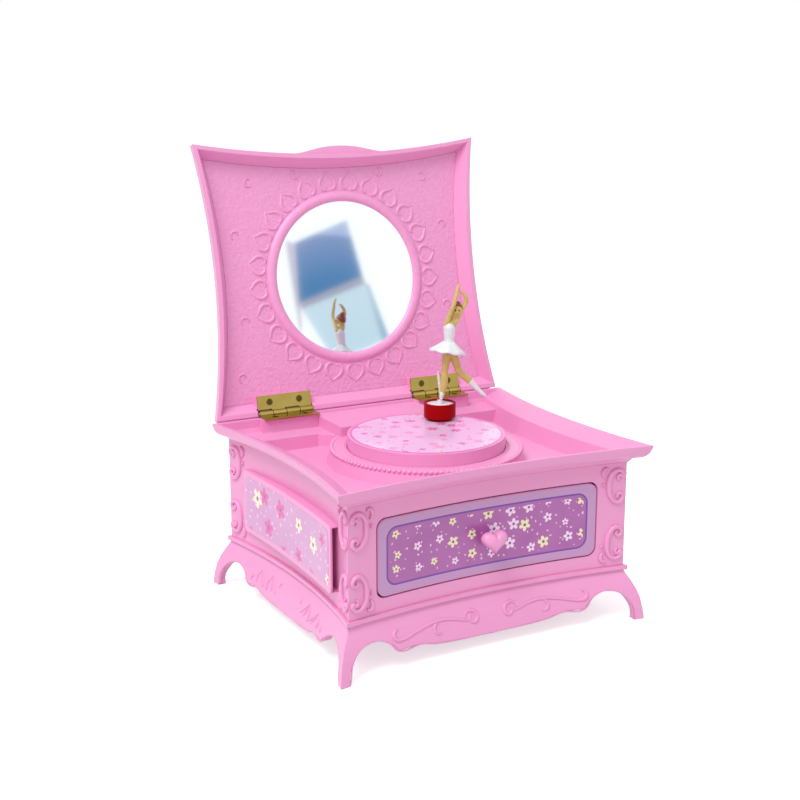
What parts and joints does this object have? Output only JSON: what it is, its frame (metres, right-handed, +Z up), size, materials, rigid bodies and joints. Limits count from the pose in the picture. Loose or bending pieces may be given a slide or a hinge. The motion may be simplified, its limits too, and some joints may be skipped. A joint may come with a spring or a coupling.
{
  "type": "wind-up music box",
  "caption": "Footed box with bowed sides, mirror lid on hinges, drawer, and a dancer carried round a stage by a magnet over a wound comb movement.",
  "frame": {"origin": "on the table under the axis of the stage", "axes": "+X to the right of the drawer, +Y to the back, +Z up"},
  "size_m": [0.1546, 0.1582, 0.2026],
  "materials": {
    "pink_plastic": "moulded ABS, satin gloss",
    "printed_label": "coated sticker",
    "brass": "bright plated",
    "zinc_steel": "bright zinc",
    "spring_steel": "blued",
    "zinc_casting": "die cast",
    "nylon": "moulded nylon",
    "magnet": "ferrite",
    "mirror_glass": "polished",
    "red_plastic": "gloss",
    "white_plastic": "gloss",
    "figure_paint": "painted"
  },
  "bodies": {
    "cabinet": {"cabinet_shell": "pink_plastic", "base_skirt": "pink_plastic", "base_screws": "zinc_steel", "bottom_plate": "pink_plastic", "top_tray": "pink_plastic", "stage_disc": "pink_plastic", "stage_label": "printed_label", "side_panel_left": "pink_plastic", "side_panel_right": "pink_plastic", "side_label_left": "printed_label", "side_label_right": "printed_label", "drawer_rail_left": "pink_plastic", "drawer_rail_right": "pink_plastic", "lower_leaf_left": "brass", "lower_leaf_right": "brass", "hinge_pin_left": "zinc_steel", "hinge_pin_right": "zinc_steel", "lower_hinge_screws": "brass", "bedplate_screws": "zinc_steel", "spring_housing": "zinc_steel", "mainspring": "spring_steel", "arm_bush": "brass", "cylinder_bracket": "zinc_steel", "governor_bracket": "zinc_steel", "comb": "spring_steel", "comb_block": "zinc_casting", "comb_screws": "zinc_steel", "movement_bedplate": "zinc_casting"},
    "lid": {"lid_shell": "pink_plastic", "lid_liner": "pink_plastic", "mirror": "mirror_glass", "upper_leaf_left": "brass", "upper_leaf_right": "brass", "upper_hinge_screws": "brass"},
    "drawer": {"drawer_tray": "pink_plastic", "drawer_front": "pink_plastic", "drawer_label": "printed_label", "drawer_knob": "pink_plastic", "knob_screw": "zinc_steel"},
    "key": {"winding_key": "zinc_steel", "spring_arbor": "zinc_steel", "great_wheel": "brass"},
    "cylinder": {"music_cylinder": "brass", "cylinder_arbor": "zinc_steel", "cylinder_pinion": "brass", "cylinder_wheel": "brass"},
    "governor": {"governor_worm": "nylon", "governor_fan": "nylon", "governor_shaft": "zinc_steel"},
    "magnet_arm": {"arm_shaft": "zinc_steel", "arm_pinion": "brass", "magnet_arm": "nylon", "drive_magnet": "magnet"},
    "dancer": {"dancer_cup": "red_plastic", "cup_magnet": "magnet", "cup_insert": "white_plastic", "dancer_figure": "figure_paint", "dancer_tutu": "white_plastic"}
  },
  "joints": [
    {"name": "lid_hinge", "type": "hinge", "parent": "cabinet", "child": "lid", "pos_m": [0, 0.0613, 0.0802], "axis": [1, 0, 0], "range_deg": [0, 101]},
    {"name": "drawer_slide", "type": "slide", "parent": "cabinet", "child": "drawer", "axis": [0, -1, 0], "range_m": [0, 0.034]},
    {"name": "key_turn", "type": "hinge", "parent": "cabinet", "child": "key", "pos_m": [0, 0.0165, 0], "axis": [0, 0, 1], "continuous": true},
    {"name": "cylinder_turn", "type": "hinge", "parent": "cabinet", "child": "cylinder", "pos_m": [0, 0.0165, 0.04687], "axis": [1, 0, 0], "continuous": true},
    {"name": "governor_turn", "type": "hinge", "parent": "cabinet", "child": "governor", "pos_m": [0.0452, 0.02785, 0], "axis": [0, 0, 1], "continuous": true},
    {"name": "arm_turn", "type": "hinge", "parent": "cabinet", "child": "magnet_arm", "pos_m": [0, 0, 0], "axis": [0, 0, 1], "continuous": true},
    {"name": "dancer_stow", "type": "hinge", "parent": "magnet_arm", "child": "dancer", "pos_m": [0.03429, 0.01431, 0.07773], "axis": [0.0921, 0.7245, -0.683], "range_deg": [0, 173]}
  ],
  "couplings": [
    {"joint": "cylinder_turn", "follows": "key_turn", "ratio": 3},
    {"joint": "governor_turn", "follows": "key_turn", "ratio": -90},
    {"joint": "arm_turn", "follows": "key_turn", "ratio": -4},
    {"joint": "dancer_stow", "follows": "lid_hinge", "ratio": 1.7128}
  ]
}
